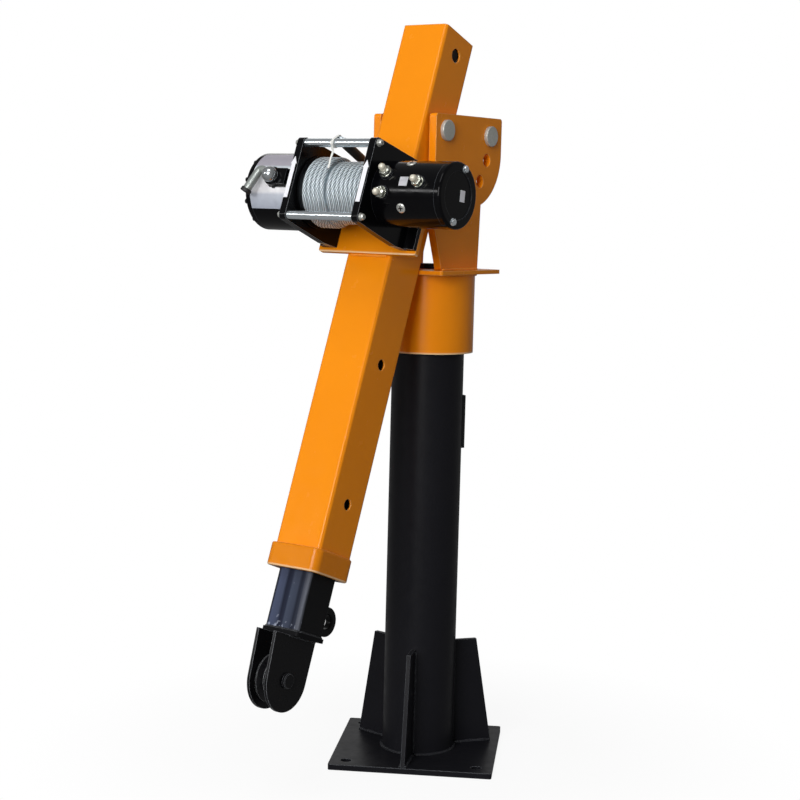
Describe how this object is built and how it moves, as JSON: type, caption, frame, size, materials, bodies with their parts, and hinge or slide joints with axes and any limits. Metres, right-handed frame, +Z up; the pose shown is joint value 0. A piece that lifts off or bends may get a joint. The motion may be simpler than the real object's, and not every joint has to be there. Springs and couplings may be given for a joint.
{
  "type": "pickup truck crane",
  "caption": "Bolt-down post crane with a swivelling head, a luffing square boom on a lock pin, a pinned sliding extension with a sheave, and an electric rope winch.",
  "frame": {"origin": "centre of the base plate's underside, on the post's axis", "axes": "+Z up along the post; X and Y along the base plate's edges; the boom leans out towards -Y and a little to -X"},
  "size_m": [0.3082, 0.3887, 0.903],
  "materials": {
    "black_enamel": "satin black enamel",
    "orange_enamel": "glossy orange enamel",
    "galvanised_steel": "streaky zinc coating",
    "zinc_plate": "bright zinc plate",
    "black_oxide": "oiled black oxide",
    "rope_steel": "galvanised wire rope",
    "machined_steel": "turned and milled steel",
    "bronze": "plain bearing bronze",
    "terminal_brass": "dull brass",
    "nylon": "natural nylon",
    "insulation": "moulded dark insulation and ferrite",
    "chrome_lever": "bright plated hub, grey handle",
    "bare_aluminium": "plain printed plate"
  },
  "bodies": {
    "base": {"base_plate": "black_enamel", "column_tube": "black_enamel", "gussets": "black_enamel", "column_cap": "galvanised_steel", "thrust_washer": "bronze", "king_bolt": "black_oxide", "data_plate": "bare_aluminium"},
    "head": {"sleeve": "orange_enamel", "swivel_bushes": "bronze", "head_plate": "orange_enamel", "cheek_left": "orange_enamel", "cheek_right": "orange_enamel", "pivot_pin": "zinc_plate", "pivot_washer": "zinc_plate", "pivot_split_pin": "zinc_plate"},
    "lock_pin": {"lock_pin": "zinc_plate"},
    "boom": {"boom_tube": "orange_enamel", "pivot_bush": "bronze", "boom_collar": "orange_enamel", "boom_slide_pads": "nylon", "winch_bracket": "orange_enamel", "winch_frame_left": "black_enamel", "winch_frame_right": "black_enamel", "tie_rods": "zinc_plate", "tie_rod_bolts": "zinc_plate", "foot_bolts": "black_oxide", "motor_can": "black_enamel", "motor_end_cap": "black_enamel", "motor_through_bolts": "zinc_plate", "motor_terminals": "terminal_brass", "pole_screws": "zinc_plate", "field_magnets": "insulation", "brush_gear": "insulation", "shaft_bearings": "bronze", "drum_bushes": "bronze", "gearbox_housing": "black_enamel", "gearbox_cover": "black_enamel", "cover_screws": "black_oxide", "ring_gear": "machined_steel", "rope_eye": "rope_steel", "tie_strap": "nylon"},
    "drum": {"drum": "black_oxide", "rope_core": "rope_steel", "rope_winding": "rope_steel", "planet_carrier": "machined_steel"},
    "planet_1": {"planet_gear_1": "machined_steel"},
    "planet_2": {"planet_gear_2": "machined_steel"},
    "planet_3": {"planet_gear_3": "machined_steel"},
    "armature": {"armature": "machined_steel", "drive_shaft": "machined_steel", "sun_gear": "machined_steel"},
    "clutch": {"clutch_lever": "chrome_lever"},
    "extension": {"extension_tube": "galvanised_steel", "extension_slide_pads": "nylon", "end_plate": "black_enamel", "sheave_cheeks": "black_enamel", "anchor_eye": "black_enamel", "sheave_axle": "black_oxide"},
    "sheave": {"sheave": "machined_steel", "sheave_bush": "bronze"}
  },
  "joints": [
    {"name": "head_swivel", "type": "hinge", "parent": "base", "child": "head", "pos_m": [0, 0, 0.6051], "axis": [0, 0, 1], "continuous": true},
    {"name": "boom_luff", "type": "hinge", "parent": "head", "child": "boom", "pos_m": [-0.01883, -0.03427, 0.7763], "axis": [-0.8765, 0.4814, 0], "range_deg": [0, 106.66]},
    {"name": "lock_pin_draw", "type": "slide", "parent": "head", "child": "lock_pin", "axis": [0.8765, -0.4814, 0], "range_m": [0, 0.196]},
    {"name": "extension_slide", "type": "slide", "parent": "boom", "child": "extension", "axis": [-0.1705, -0.3104, -0.9352], "range_m": [0, 0.168]},
    {"name": "sheave_turn", "type": "hinge", "parent": "extension", "child": "sheave", "pos_m": [-0.1375, -0.25033, 0.15215], "axis": [0.8765, -0.4814, 0], "continuous": true},
    {"name": "drum_turn", "type": "hinge", "parent": "boom", "child": "drum", "pos_m": [-0.08189, -0.14908, 0.69865], "axis": [0.8765, -0.4814, 0], "continuous": true},
    {"name": "motor_turn", "type": "hinge", "parent": "boom", "child": "armature", "pos_m": [-0.08189, -0.14908, 0.69865], "axis": [0.8765, -0.4814, 0], "continuous": true},
    {"name": "planet_1_turn", "type": "hinge", "parent": "drum", "child": "planet_1", "pos_m": [-0.15708, -0.13018, 0.70609], "axis": [0.8765, -0.4814, 0], "continuous": true},
    {"name": "planet_2_turn", "type": "hinge", "parent": "drum", "child": "planet_2", "pos_m": [-0.146, -0.11001, 0.67793], "axis": [0.8765, -0.4814, 0], "continuous": true},
    {"name": "planet_3_turn", "type": "hinge", "parent": "drum", "child": "planet_3", "pos_m": [-0.13979, -0.09871, 0.71194], "axis": [0.8765, -0.4814, 0], "continuous": true},
    {"name": "clutch_turn", "type": "hinge", "parent": "boom", "child": "clutch", "pos_m": [-0.17146, -0.15429, 0.71671], "axis": [0.4502, 0.8197, -0.3541], "range_deg": [0, 90]}
  ],
  "couplings": [
    {"joint": "lock_pin_draw", "follows": "boom_luff", "m_per_rad": 0.105},
    {"joint": "motor_turn", "follows": "drum_turn", "ratio": 5},
    {"joint": "planet_1_turn", "follows": "drum_turn", "ratio": -2.6667},
    {"joint": "planet_2_turn", "follows": "drum_turn", "ratio": -2.6667},
    {"joint": "planet_3_turn", "follows": "drum_turn", "ratio": -2.6667}
  ]
}
